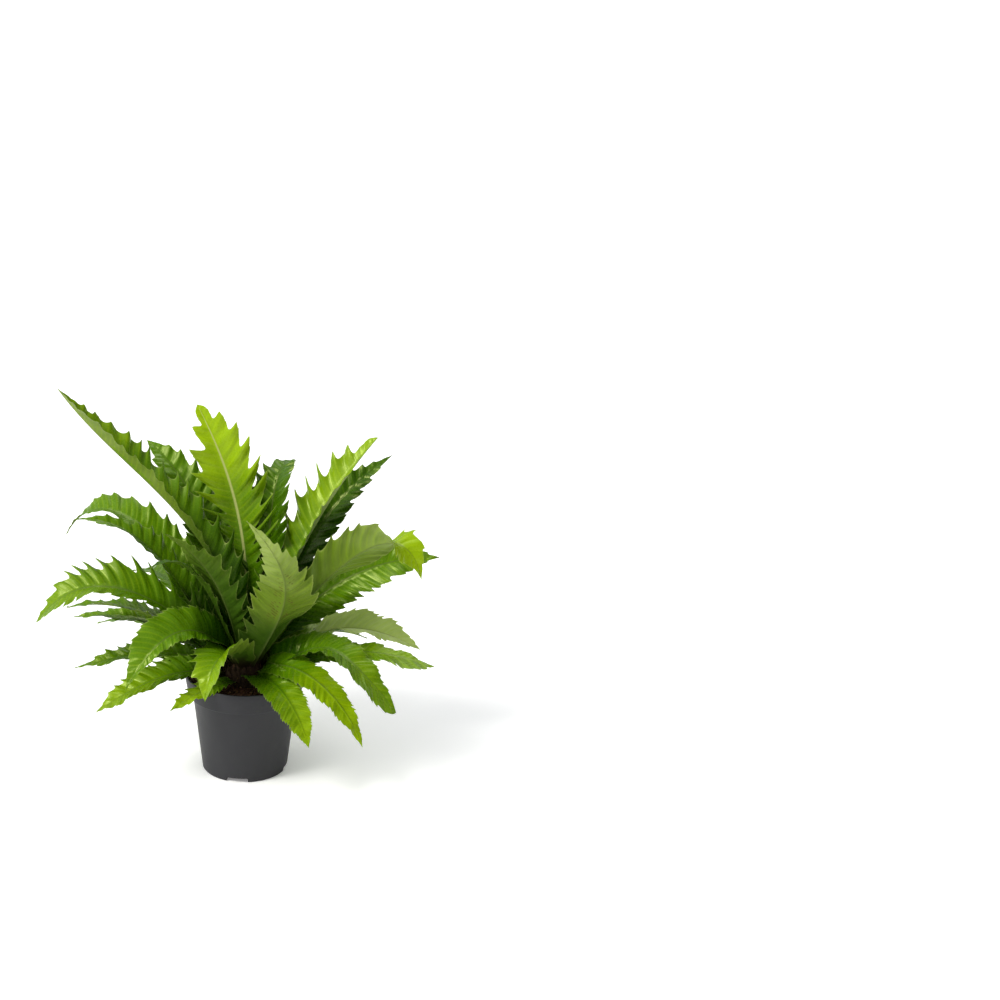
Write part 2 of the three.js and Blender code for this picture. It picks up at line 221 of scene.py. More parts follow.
# Low outer blades have many small teeth, and upright ones deep lobes low down
low = dict(point=1.9, cut=0.1, deepLow=0, teeth=26, pleat=0.008, ridged=0.75)
upright = dict(cut=0.3, deepLow=0.7, pleat=0.09)
fronds = {
    "frond_01": low | dict(heading=78, rise=22, tip=(78, 150, 74), droop=-50, width=18),
    "frond_02": dict(
        heading=240, rise=20, tip=(226, 105, 96), droop=-14, width=22, halves=(0.6, 0.7), belly=0.45,
        roll=-12, fold=10, cut=0.3, teeth=9, tone=0.7, tipTone=0.8),
    "frond_03": low | dict(heading=112, rise=22, tip=(110, 150, 72), droop=-50, width=18),
    "frond_04": dict(
        heading=202, rise=26, tip=(201, 157, 86), droop=-26, width=22, roll=-10, cut=0.2, tone=0.6,
        tipTone=0.8, left=dict(belly=0.55, foot=1)),
    "frond_05": low | dict(
        heading=298, rise=32, tip=(300, 124, 70), droop=-62, width=21.5, halves=(0.85, 1), belly=0.4,
        foot=0.25, roll=8, fold=12, teeth=30, ridged=0.5, tone=0.65, tipTone=0.8, pale=0),
    "frond_06": low | dict(
        heading=322, rise=42, tip=(318, 154.5, 68), droop=-64, width=18, belly=0.42, foot=0.4, roll=4,
        fold=4, cut=0.14, teeth=20, tone=0.75, tipTone=0.85),
    "frond_07": low | dict(
        heading=333, rise=34, tip=(330, 171, 97), droop=-44, reach=0.56, arch=1.3, width=24,
        halves=(0.95, 0.9), point=2.6, taper=1, foot=0.25, roll=2, fold=18, teeth=28, tone=0.5,
        tipTone=0.65, left=dict(foot=0.12), right=dict(belly=0.8, foot=1)),
    "frond_08": dict(heading=146, rise=28, tip=(148, 180, 116), droop=-25, width=20),
    "frond_09": dict(heading=58, rise=30, tip=(62, 182, 108), droop=-25, width=21),
    "frond_10": dict(
        heading=184, rise=34, tip=(181, 170, 110), droop=-14, width=18, roll=-15, ruffle=2.4, tone=0.5,
        tipTone=0.6),
    "frond_11": low | dict(
        heading=350, rise=29, tip=(349, 192, 124), droop=-16, width=22, halves=(0.7, 1.25), roll=5,
        fold=14, cut=0.16, teeth=17, tone=0.6, tipTone=0.7, right=dict(belly=0.72, foot=0.8)),
    "frond_12": dict(heading=30, rise=34, tip=(32, 150, 104), droop=-32, width=20, teeth=11),
    "frond_13": dict(
        heading=250, rise=60, tip=(247, 99, 113), droop=-75, reach=0.45, arch=1.25, width=30, belly=0.42,
        foot=0.5, fold=14, lifts=(35, 0), cut=0.22, deepLow=0, teeth=7, tone=0.6, tipTone=0.7),
    "frond_14": dict(
        heading=168, rise=40, tip=(172, 173, 154), droop=-10, width=19, roll=-5, ruffle=2.4, tone=0.5),
    "frond_15": low | dict(
        heading=1, rise=46, tip=(4, 178, 121), droop=-34, arch=1.1, width=26, halves=(1.3, 1), roll=-50,
        cut=0.14, teeth=18, tone=0.85, tipTone=0.95),
    "frond_16": dict(
        heading=217, rise=60, tip=(213, 138, 119), droop=-56, reach=0.42, arch=1.5, width=26,
        halves=(0.6, 1.02), foot=0.4, roll=-34, cut=0.1, teeth=24, pleat=0.006, ridged=0.8, tone=0.42,
        tipTone=0.6, right=dict(belly=0.6)),
    "frond_17": dict(heading=98, rise=40, tip=(97, 196, 132), droop=-25, width=22),
    "frond_18": dict(heading=188, rise=44, tip=(178, 177, 172), droop=-14, width=20, ruffle=2.2),
    "frond_19": dict(heading=128, rise=42, tip=(128, 192, 152), droop=-25, width=22),
    "frond_20": dict(
        heading=22, rise=52, tip=(8, 198, 216), droop=-5, width=30, roll=40, cut=0.2, ridged=1.6,
        ruffle=2.4, tone=0.45, tipTone=0.6),
    "frond_21": dict(heading=48, rise=44, tip=(46, 180, 160), droop=-30, width=23),
    "frond_22": dict(
        heading=197, rise=53.3, tip=(190, 206, 174), droop=-55, arch=1.21, width=31, halves=(0.75, 1.2),
        belly=0.42, taper=1, foot=0.5, roll=-26, cut=0.36, ruffle=2.4, tone=0.5, tipTone=0.65,
        left=dict(belly=0.72, foot=0.9)),
    "frond_23": dict(
        heading=334, rise=59, tip=(340.6, 182, 228), droop=-76, reach=0.5, width=31, belly=0.6, foot=0.5,
        roll=-49, twist=91, twistSpan=(0.66, 0.88), fold=20, cut=0.14, teeth=14, tone=0.38, tipTone=1),
    "frond_24": dict(heading=176, rise=55, tip=(175, 167, 263), droop=-4, width=23, roll=-10, fold=28),
    # Painted shade: this inner blade at the front of the crown is toned very dark to stand in for the shade
    # there
    "frond_25": dict(
        heading=205, rise=72, tip=(198, 99, 228), droop=-30, width=14, fold=14, teeth=10, tone=0.05,
        tipTone=0.15),
    "frond_26": dict(
        heading=147, rise=61.5, tip=(152, 206, 215), droop=-62, arch=1.22, width=23, halves=(0.65, 1.2),
        roll=-6, cut=0.2, ruffle=2, tone=0.5),
    "frond_27": dict(heading=74, rise=56, tip=(84, 160, 210), droop=-10, width=22, tone=0.2),
    "frond_28": dict(heading=118, rise=50, tip=(114, 160, 226), droop=0, width=24, tone=0.15),
    "frond_29": upright | dict(
        heading=118, rise=67, tip=(136.3, 137, 318), droop=22, width=30, point=2.2, roll=-5, cut=0.24,
        tone=0.3, tipTone=0.4),
    # Painted shade: this inner blade at the front of the crown is toned very dark at its foot and middle to
    # stand in for the shade there
    "frond_30": upright | dict(
        heading=237, rise=75, tip=(216, 95, 275), droop=36, width=28, roll=-5, fold=16, teeth=11,
        tone=0.05, tipTone=0.3),
    "frond_31": upright | dict(
        heading=171, rise=86, tip=(168, 186, 390), droop=54, reach=0.3, arch=1.1, width=31,
        halves=(0.5, 1.15), point=2.2, taper=1, twist=-30, fold=30, lifts=(55, 0), cut=0.22, teeth=15,
        tone=0.42, tipTone=0.72, left=dict(belly=0.86, foot=1), right=dict(belly=0.5, point=1.5)),
    "frond_32": upright | dict(
        heading=42, rise=59, tip=(30, 173, 305), droop=22, width=27, roll=15, tone=0.1, tipTone=0.2,
        pale=0),
    "frond_33": upright | dict(
        heading=358, rise=70, tip=(16, 137, 341), droop=48, width=37, halves=(1.04, 0.5), point=2.2,
        taper=0.95, roll=40, fold=20, lifts=(0, 45), cut=0.38, teeth=12, pleat=0.12, tone=0.6,
        tipTone=0.75),
    "frond_34": upright | dict(
        heading=42, rise=67, tip=(58.5, 99, 299), droop=-25, width=30, roll=12, tone=0.25, tipTone=0.25),
    "frond_35": dict(
        heading=305, rise=58, tip=(271, 71, 294), droop=49, turn=188, reach=0.5, arch=1.05, width=35,
        belly=0.4, point=1.3, foot=0.28, roll=-38, fold=14, cut=0.26, teeth=12, tone=0.42, tipTone=0.9,
        fertile=1),
    "frond_36": upright | dict(
        heading=74, rise=80, tip=(124, 85, 364), droop=58, turn=150, width=43, halves=(0.9, 1.08),
        belly=0.54, point=1.9, taper=1, foot=0.85, roll=10, cut=0.45, deepLow=0.9, teeth=12, pleat=0.1,
        tone=0.5, tipTone=0.95, pale=1),
}

bladeMake = {
    "samples": 240,  # places along a midrib where its frame is worked out
    "handle": 0.42,  # how far the stem's direction tells, as a share of the length
    "rollSpan": (0.05, 0.55),
    "lean": 30,  # how far the foot of a blade turns its face to the front
    "footFold": 16,
    # Rows that run along the side veins
    "rowsPerTooth": 16,
    "stemRows": 14,
    "tipRows": 8,
    # Columns from the midrib out: in half widths of the midrib, and then as shares of the half blade
    "ribColumns": (0, 0.45, 0.8, 1.15),
    "bladeColumns": (0.16, 0.36, 0.58, 0.77, 0.9, 1),
    "teethSpan": (0.13, 0.985),
    "teethFiner": 1.2,  # above 1, the teeth get closer together towards the point
    "toothWidths": (0.62, 1.38),  # least and most, as shares of the usual one
    "toothDepths": (0.5, 1.35),
    "sinus": 0.24,  # how much of a tooth's width the round notch before it takes
    "smallTeeth": (4, 0.12),  # how many on each tooth, and how deep
    "stemWidth": 0.09,  # as a share of the blade's
    "veinSlope": 0.72,  # how far a side vein runs forward for each unit that it runs out
    "veinCurve": 1.25,
    "halfThick": 0.26 * mm,
    "edgeThin": 0.35,  # how thick the margin is, as a share of the rest
    "keel": 1.5 * mm,
    "ridge": 0.4 * mm,
    "ribHalf": (1.5 * mm, 0.25 * mm),  # half width of the midrib, at the foot and at the point
    # Ridges between the side veins: how far apart and how high
    "ridges": ((3.7 * mm, 0.06 * mm), (6.7 * mm, 0.18 * mm), (13.3 * mm, 0.6 * mm)),
    "paintedFootShade": 0.5,  # painted shade: how much darker in tone the foot of a blade is painted, for the shade deep in the crown
}


def direction(heading, pitch):
    # A unit vector from a heading and an angle above level
    level = math.cos(math.radians(pitch))
    across = math.radians(heading)
    return np.array([math.cos(across) * level, math.sin(across) * level, math.sin(math.radians(pitch))])


def unit(vectors):
    return vectors / np.linalg.norm(vectors, axis=-1, keepdims=True)


class Midrib:
    # The curve that a blade follows, with a frame at every sample: along it, across the blade and out of
    # its upper face
    def __init__(self, frond):
        start = direction(frond["heading"], frond["rise"])
        base = start * crown["stemStart"] + (0, 0, crown["height"])
        tipHeading, distance, height = frond["tip"]
        tip = direction(tipHeading, 0) * distance * mm + (0, 0, height * mm)
        end = direction(frond.get("turn", tipHeading), frond["droop"])
        self.length = np.linalg.norm(tip - base) * frond["arch"]
        bend = base + start * bladeMake["handle"] * self.length
        lead = tip - end * frond["reach"] * self.length
        self.t = np.linspace(0, 1, bladeMake["samples"] + 1)
        t = self.t[:, None]
        s = 1 - t
        self.middle = s**3 * base + 3 * s * s * t * bend + 3 * s * t * t * lead + t**3 * tip
        along = -s * s * base + (s * s - 2 * s * t) * bend + (2 * s * t - t * t) * lead + t * t * tip
        self.along = unit(along)
        out = np.cross(self.along[0], direction(frond["heading"] + 90, 0))
        outs = []
        for forward in self.along:
            out = out - forward * out.dot(forward)
            out = out / np.linalg.norm(out)
            outs.append(out)
        roll = frond["roll"] * smoothStep(self.t, *bladeMake["rollSpan"])
        roll = roll + frond["twist"] * smoothStep(self.t, *frond["twistSpan"])
        front = bladeMake["lean"] * math.cos(math.radians(frond["heading"]))
        roll = roll + front * smoothStep(self.t, 0, 0.1) * (1 - smoothStep(self.t, 0.2, 0.6))
        turn = np.radians(roll)[:, None]
        outs = np.array(outs)
        self.out = outs * np.cos(turn) + np.cross(self.along, outs) * np.sin(turn)

    def at(self, t):
        def between(values):
            return np.stack([np.interp(t, self.t, values[:, axis]) for axis in range(3)], -1)
        along = unit(between(self.along))
        out = between(self.out)
        out = unit(out - along * (out * along).sum(-1, keepdims=True))
        return between(self.middle), np.cross(out, along), out


def halfWidth(frond, t):
    # Half the blade's width at t along its midrib, before teeth are cut into it
    grown = smoothStep(t, -0.04, frond["belly"] * frond["foot"]) ** 0.85
    swell = bladeMake["stemWidth"] + (1 - bladeMake["stemWidth"]) * grown
    past = np.clip((t - frond["belly"]) / (1 - frond["belly"]), 0, 1)
    return frond["width"] * mm * np.maximum(swell * (1 - past ** frond["point"]) ** frond["taper"], 0.012)


class Teeth:
    # The toothed margin of one half blade. phase counts the usual tooth widths along it.
    def __init__(self, frond, draw):
        make = bladeMake
        self.count = frond["teeth"]
        widths = draw.uniform(*make["toothWidths"], self.count)
        self.knots = np.concatenate([[0], np.cumsum(widths) * self.count / widths.sum()])
        self.depths = draw.uniform(*make["toothDepths"], self.count)
        self.cut = frond["cut"]
        self.deepLow = frond["deepLow"]

    def number(self, phase):
        # Counts the teeth by their own widths
        return np.interp(phase, self.knots, np.arange(self.count + 1))

    def reach(self, phase, t):
        # How far out the margin comes, as a share of the half width
        number = self.number(phase)
        tooth = np.clip(np.floor(number), 0, self.count - 1).astype(int)
        part = number - tooth
        sinus = bladeMake["sinus"]
        falling = 1 - np.clip(1 - part / sinus, 0, 1) ** 2.6
        rising = 1 - np.clip((part - sinus) / (1 - sinus), 0, 1) ** 1.25
        count, deep = bladeMake["smallTeeth"]
        small = np.mod(part * count, 1) * deep * smoothStep(part, sinus, 0.6) * (1 - smoothStep(part, 0.8, 1))
        depth = self.cut * self.depths[tooth] * (1 + self.deepLow * (1 - smoothStep(t, 0.3, 0.62)))
        depth = np.minimum(depth * smoothStep(t, -0.02, 0.2), 0.75)
        reach = 1 - depth * (np.where(part < sinus, falling, rising) - small)
        return np.where((phase >= 0) & (phase < self.count), reach, 1.0)


def bladeRows(frond, length):
    # Where each row of the blade starts on the midrib. Rows follow the side veins, so a row meets the
    # margin further on, where phase counts the teeth.
    make = bladeMake
    dense = np.linspace(0, 1, 1500)
    slope = make["veinSlope"] * smoothStep(dense, 0.02, 0.2) * halfWidth(frond, dense) / length
    first, last = make["teethSpan"]
    reached = (dense + slope - first) / (last - first)
    reached = np.sign(reached) * np.abs(reached) ** make["teethFiner"]
    phases = np.maximum.accumulate(reached) * frond["teeth"]
    rows = (np.arange(frond["teeth"] * make["rowsPerTooth"]) + 0.5) / make["rowsPerTooth"]
    toothRows = np.interp(rows, phases, dense)
    stemRows = np.linspace(0, toothRows[0], make["stemRows"], endpoint=False)
    tipRows = np.linspace(toothRows[-1], 0.997, make["tipRows"] + 1)[1:]
    starts = np.concatenate([stemRows, toothRows, tipRows])
    return starts, np.interp(starts, dense, phases)


def ridgeLift(draw, away, v):
    # Uneven ridges that run out along the side veins
    lift = 0
    for apart, high in bladeMake["ridges"]:
        start, drift, swing = draw.uniform(0, math.tau, 3)
        strength = 0.65 + 0.35 * np.sin(away / (apart * 1.7) + 3 * v + drift)
        lift = lift + high * strength * np.sin(math.tau * away / apart + start + np.sin(2.4 * v + swing))
    return lift


def columnPlaces(width, margin, starts):
    # How far out each column lies. The inner ones keep their place, and the outer ones follow the teeth.
    ribHalf = np.minimum(np.interp(starts, (0, 1), bladeMake["ribHalf"]), 0.55 * margin)
    columns = [ribHalf * share for share in bladeMake["ribColumns"]]
    inner = columns[-1]
    for share in bladeMake["bladeColumns"]:
        follow = smoothStep(share, 0.25, 1)
        place = inner + (width * (1 - follow) + margin * follow - inner) * share
        columns.append(np.minimum(place, margin))
    return np.stack(columns, 1), ribHalf


def foldAngles(frond, side, t, v):
    # How far the half is lifted at t along the midrib and v across, steeper at the foot than at the point
    change = 1 + 0.25 * (1 - smoothStep(t, 0.1, 0.5)) - 0.5 * smoothStep(t, 0.7, 1)
    footFold = bladeMake["footFold"] * (1 - smoothStep(t, 0.12, 0.4)) * smoothStep(t, 0, 0.06)
    lifted = frond["lifts"][0 if side > 0 else 1] * smoothStep(t, 0.1, 0.4)
    return np.radians((frond["fold"] * change + footFold + lifted) * (1.14 - 0.28 * v))


def ruffles(frond, side, t, v):
    # Slow waves of the margin
    wave = np.sin(frond["teeth"] * 1.9 * t + frond["heading"] + side * 1.4)
    return frond["ruffle"] * mm * smoothStep(t, 0.15, 0.45) * (1 - smoothStep(t, 0.86, 1)) * wave * v ** 1.4


def pleats(frond, width, number, t, v):
    # One fold to a tooth, highest at its sides
    deep = frond["pleat"] * width[:, None] * smoothStep(v, 0.12, 0.95) * smoothStep(t, 0.1, 0.3)
    return deep * np.cos(math.tau * number) * (1 - 0.7 * smoothStep(t, 0.8, 1))


def halfBlade(frond, midrib, side, starts, phase, draw):
    # One half of a blade: points of its upper and its lower face and what its finish reads
    make = bladeMake
    frond = frond | frond["left" if side > 0 else "right"]
    width = halfWidth(frond, starts) * frond["halves"][0 if side > 0 else 1]
    teeth = Teeth(frond, draw)
    margin = width * teeth.reach(phase, starts)
    offset, ribHalf = columnPlaces(width, margin, starts)
    v = offset / width[:, None]
    lean = make["veinSlope"] * smoothStep(starts, 0.02, 0.2) * width / midrib.length
    t = np.clip(starts[:, None] + lean[:, None] * v ** make["veinCurve"], 0, 1)
    middle, across, out = midrib.at(t)

    fold = foldAngles(frond, side, t, v)
    lift = ruffles(frond, side, t, v) + pleats(frond, width, teeth.number(phase)[:, None], t, v)
    inBlade = smoothStep(v, 0.03, 0.2) * (1 - 0.5 * smoothStep(v, 0.8, 1)) * smoothStep(t, 0.08, 0.2)
    away = np.broadcast_to((starts * midrib.length)[:, None], v.shape)
    lift = lift + inBlade * ridgeLift(draw, away, v) * frond["ridged"]
    spot = middle + across * (side * offset * np.cos(fold))[..., None]
    spot = spot + out * (offset * np.sin(fold) + lift)[..., None]

    bulge = np.sqrt(1 - np.clip(offset / (ribHalf[:, None] * 1.15), 0, 1) ** 2)
    thick = make["halfThick"] * (1 - (1 - make["edgeThin"]) * smoothStep(v, 0.3, 1))
    top = thick + make["ridge"] * bulge * (1 - 0.7 * smoothStep(t, 0.3, 1))
    under = thick + make["keel"] * bulge * (0.2 + 0.8 * (1 - smoothStep(t, 0, 0.7)))
    upper = spot + out * top[..., None]
    lower = spot - out * under[..., None]
    upper[:, -1] = lower[:, -1] = spot[:, -1]
    edge = offset / np.maximum(margin, 1e-6)[:, None]
    # veins counts centimetres along the midrib
    return {"upper": upper, "lower": lower, "across": v, "along": t, "veins": away / 0.01, "edge": edge}


def bladeFaces(rows, columns):
    # Faces of the closed blade, with their material slots: 0 above and 1 below. The lower face shares the
    # margins with the upper one, and the tip is the last point.
    top = np.arange(rows * columns).reshape(rows, columns)
    under = top.copy()
    under[:, 1:-1] = rows * columns + np.arange(rows * (columns - 2)).reshape(rows, columns - 2)
    tip = rows * columns + rows * (columns - 2)
    upperQuads = np.stack([top[:-1, :-1], top[:-1, 1:], top[1:, 1:], top[1:, :-1]], -1)
    lowerQuads = np.stack([under[1:, :-1], under[1:, 1:], under[:-1, 1:], under[:-1, :-1]], -1)
    faces = upperQuads.reshape(-1, 4).tolist() + lowerQuads.reshape(-1, 4).tolist()
    slots = [0] * (len(faces) // 2) + [1] * (len(faces) // 2)
    for n in range(columns - 1):
        faces.append([int(top[-1, n]), int(top[-1, n + 1]), tip])
        faces.append([int(under[-1, n + 1]), int(under[-1, n]), tip])
        slots += [0, 1]
    faces.append(top[0, ::-1].tolist() + under[0, 1:-1].tolist())
    slots.append(1)
    return faces, slots


def frondPiece(name, frond, number, materials):
    draw = np.random.default_rng(100 + number)
    midrib = Midrib(frond)
    starts, phase = bladeRows(frond, midrib.length)
    right = halfBlade(frond, midrib, -1, starts, phase, draw)
    left = halfBlade(frond, midrib, 1, starts, phase, draw)

    # Columns run from the right margin over the midrib to the left margin
    grid = {label: np.concatenate([right[label][:, :0:-1], left[label]], 1) for label in right}
    upper, lower = grid["upper"], grid["lower"]
    rows, columns = upper.shape[:2]
    tip = midrib.at(np.array([1.0]))[0]
    verts = np.concatenate([upper.reshape(-1, 3), lower[:, 1:-1].reshape(-1, 3), tip])
    faces, slots = bladeFaces(rows, columns)
    piece = makePiece(name + "_leaf", verts.tolist(), faces, materials, slots, 60)

    def spread(values, last):
        return np.concatenate([values.reshape(-1), values[:, 1:-1].reshape(-1), [last]])

    for label in ("across", "along", "veins", "edge"):
        setNumbers(piece, label, spread(grid[label], grid[label][-1, columns // 2]))
    t = spread(grid["along"], 1)
    tone = frond["tone"] + (frond["tipTone"] - frond["tone"]) * smoothStep(t, 0.35, 1)
    # Painted shade: the tone drops towards the foot of each blade, for the shade deep in the crown
    setNumbers(piece, "tone", tone - bladeMake["paintedFootShade"] * (1 - smoothStep(t, 0.12, 0.5)))
    setNumbers(piece, "pale", np.full(len(verts), float(frond["pale"])))
    setNumbers(piece, "fertile", np.full(len(verts), float(frond["fertile"])))
    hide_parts(name)
    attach(piece, "root")
    return piece


# Leaf finishes

leafLook = {
    # Blade colours, from old leaves to young ones
    "upper": ((0.014, 0.06, 0.0006), (0.08, 0.19, 0.001), (0.3, 0.46, 0.002)),
    "under": ((0.035, 0.085, 0.004), (0.12, 0.19, 0.014), (0.34, 0.43, 0.12)),
    "glow": ((0.08, 0.22, 0.001), (0.2, 0.42, 0.002), (0.5, 0.65, 0.006)),
    "midribDark": (0.02, 0.05, 0.002),
    "midribCream": (0.46, 0.5, 0.16),
    "margin": (0.34, 0.42, 0.1),
    "foot": (0.016, 0.009, 0.004),
    "spores": (0.07, 0.022, 0.006),
    "sheen": (0.9, 1.0, 0.35),
    "glowShare": 0.16,  # how much light comes through from behind
    "patchy": 0.4,  # how much the tone changes from place to place
    # To the centimetre along the midrib
    "fineVeins": 7.5,
    "strongVeins": 1.5,
    "sporeLines": 3.0,
}


def toned(finish, tone, name):
    dark, middle, lime = leafLook[name]
    return finish.mix(tone.step(0.5, 1.0), finish.mix(tone.step(0.0, 0.5), dark, middle), lime)


def sporeShare(finish, across, along, away):
    # Spore cases lie in brown dashes along the side veins, nearer the midrib than the margin
    dash = (away * (math.tau * leafLook["sporeLines"])).humps().step(0.7, 0.9)
    broken = finish.noise(230.0, 2.0).step(0.5, 0.58)
    belt = across.step(0.06, 0.12) * (1.0 - across.step(0.25, 0.5))
    belt = belt * along.step(0.28, 0.4) * (1.0 - along.step(0.66, 0.76))
    return dash * broken * belt * finish.read("fertile")


def leafFinish(name, isUpper):
    look = leafLook
    finish = Finish(name)
    across = finish.read("across")
    along = finish.read("along")
    edge = finish.read("edge")
    away = finish.read("veins")
    inBlade = across.step(0.02, 0.12) * (1.0 - edge.step(0.9, 1.0))
    patches = finish.noise(30.0, 2.0)
    # The tone attribute holds painted shade: it is darker towards the foot of each blade
    tone = (finish.read("tone") + (patches - 0.5) * look["patchy"]).clamped()
    colour = toned(finish, tone, "upper" if isUpper else "under")

    # Side veins, fine ones and every fifth stronger
    fine = (away * (math.tau * look["fineVeins"])).humps() ** 3.0
    strong = (away * (math.tau * look["strongVeins"]) + across * 0.8).humps() ** 6.0
    veins = (fine * 0.35 + strong * 0.65) * inBlade
    colour = finish.mix(veins * (0.22 if isUpper else 0.3), colour,
                        toned(finish, (tone + 0.3).clamped(), "glow" if isUpper else "upper"))
    onBlade = finish.wire("ShaderNodeCombineXYZ", None, {0: away * 2.6, 1: across * 1.5})
    stripes = finish.noise(1.0, 3.0, 0.6, onBlade)
    colour = finish.mix((stripes.step(0.45, 0.75) * inBlade) * 0.25, colour,
                        toned(finish, (tone - 0.3).clamped(), "upper"))
    if not isUpper:
        colour = finish.mix(sporeShare(finish, across, along, away), colour, look["spores"])
    pale = finish.read("pale")
    midrib = finish.mix(pale, look["midribDark"], look["midribCream"])
    colour = finish.mix((1.0 - across.step(0.015, 0.05)) * (0.45 + pale * 0.5), colour, midrib)
    colour = finish.mix(edge.step(0.94, 1.0) * 0.5, colour, look["margin"])
    colour = finish.mix(1.0 - along.step(0.02, 0.12), colour, look["foot"])

    grain = finish.noise(420.0, 3.0)
    if isUpper:
        roughness = 0.22 + grain * 0.12 + edge.step(0.8, 1.0) * 0.08
        normal = finish.bump(veins + grain * 0.3, 0.3, 0.0004)
    else:
        roughness = 0.48 + grain * 0.14
        normal = finish.bump(veins + grain * 0.6, 0.4, 0.0004)
    solid = finish.principled({
        "Base Color": colour, "Roughness": roughness, "Normal": normal,
        "Specular IOR Level": 0.5 if isUpper else 0.3, "Specular Tint": (*look["sheen"], 1),
    })
    through = finish.wire("ShaderNodeBsdfTranslucent", None, {"Color": toned(finish, tone, "glow")})
    mixed = {0: look["glowShare"], 1: solid, 2: through}
    return finish.finished(finish.wire("ShaderNodeMixShader", None, mixed))


leafMaterials = (leafFinish("leafUpper", True), leafFinish("leafUnder", False))
for number, (name, own) in enumerate(fronds.items()):
    frondPiece(name, usualFrond | own, number, leafMaterials)
print("fronds: %d" % len(fronds))

# Pot

potMake = {
    # Radius and height
    "rim": (60 * mm, 104 * mm),
    "collarFoot": (57.2 * mm, 82.6 * mm),
    "bodyTop": (52.5 * mm, 81.6 * mm),
    "lip": 0.9 * mm,  # radius of the round on top of the rim
    "base": 43 * mm,
    "baseRound": 1.4 * mm,
    "wall": 1.5 * mm,
    "floor": 2 * mm,
    "sides": 192,
    "notches": 4,
    "firstNotch": -11,  # its heading
    "notchWidth": 22 * mm,
    "notchHeight": 4.5 * mm,
    "notchReach": 11 * mm,  # how far in from the foot it goes
    "notchRound": 1.2 * mm,
    "roundSteps": 5,
    "colour": (0.026, 0.026, 0.029),
    "scuffed": (0.042, 0.042, 0.044),
}


def arc(centre, radius, first, last, steps):
    # Points of a round stretch of a profile, between two angles
    angles = [math.radians(first + (last - first) * n / steps) for n in range(steps + 1)]
    return [(centre[0] + radius * math.cos(a), centre[1] + radius * math.sin(a)) for a in angles]


def turnedMesh(profile, sides):
    # A profile of (radius, height) points turned round the pot's axis, with both ends on the axis
    verts, faces, rings = [], [], []
    for radius, height in profile:
        if radius < 1e-7:
            rings.append([len(verts)])
            verts.append((0, 0, height))
            continue
        rings.append(list(range(len(verts), len(verts) + sides)))
        for n in range(sides):
            angle = math.tau * n / sides
            verts.append((radius * math.cos(angle), radius * math.sin(angle), height))
    for lower, upper in zip(rings, rings[1:]):
        for n in range(sides):
            m = (n + 1) % sides
            if len(lower) == 1:
                faces.append((lower[0], upper[m], upper[n]))
            elif len(upper) == 1:
                faces.append((lower[n], lower[m], upper[0]))
            else:
                faces.append((lower[n], lower[m], upper[m], upper[n]))
    return verts, faces


def cutter(name, size, place, heading, bevel):
    # A block with rounded edges, turned about the pot's axis
    mesh = bpy.data.meshes.new(name)
    shape = bmesh.new()
    bmesh.ops.create_cube(shape, size=1)
    bmesh.ops.scale(shape, vec=size, verts=shape.verts)
    bmesh.ops.bevel(shape, geom=shape.edges[:], offset=bevel, segments=3, affect="EDGES", profile=0.5)
    bmesh.ops.translate(shape, vec=place, verts=shape.verts)
    bmesh.ops.rotate(shape, cent=(0, 0, 0), matrix=Matrix.Rotation(math.radians(heading), 3, "Z"),
                     verts=shape.verts)
    shape.to_mesh(mesh)
    shape.free()
    made = bpy.data.objects.new(name, mesh)
    bpy.context.scene.collection.objects.link(made)
    return made


def cutAway(piece, tools):
    # Takes the tools out of the piece, and out of the scene
    for tool in tools:
        modifier = piece.modifiers.new(tool.name, "BOOLEAN")
        modifier.operation = "DIFFERENCE"
        modifier.solver = "EXACT"
        modifier.object = tool
    shown = piece.evaluated_get(bpy.context.evaluated_depsgraph_get())
    mesh = bpy.data.meshes.new_from_object(shown)
    piece.modifiers.clear()
    piece.data = mesh
    for tool in tools:
        bpy.data.objects.remove(tool)


def notchCutters(grow):
    # Blocks that cut the notches round the foot, larger all round by grow
    make = potMake
    length = make["notchReach"] + 8 * mm + grow
    height = make["notchHeight"] + 8 * mm + grow
    tools = []
    for n in range(make["notches"]):
        heading = make["firstNotch"] + 360 * n / make["notches"]
        middle = (make["base"] - make["notchReach"] - grow + length / 2, 0,
                  make["notchHeight"] + grow - height / 2)
        size = (length, make["notchWidth"] + 2 * grow, height)
        tools.append(cutter("notch%d" % n, size, middle, heading, make["notchRound"]))
    return tools


def potFinish():
    finish = Finish("potPlastic")
    grain = finish.noise(2600.0, 2.0)
    scuffs = finish.noise(45.0, 5.0, 0.7)
    colour = finish.mix(scuffs.step(0.52, 0.75) * 0.25, potMake["colour"], potMake["scuffed"])
    streaks = finish.noise(1.0, 3.0, 0.6, finish.place((120, 120, 700)))
    normal = finish.bump(grain, 0.25, 0.00015)
    normal = finish.bump(streaks, 0.05, 0.0003, normal)
    shell = finish.principled({
        "Base Color": colour, "Roughness": 0.46 + scuffs * 0.16, "Normal": normal,
        "Specular IOR Level": 0.25,
    })
    return finish.finished(shell)


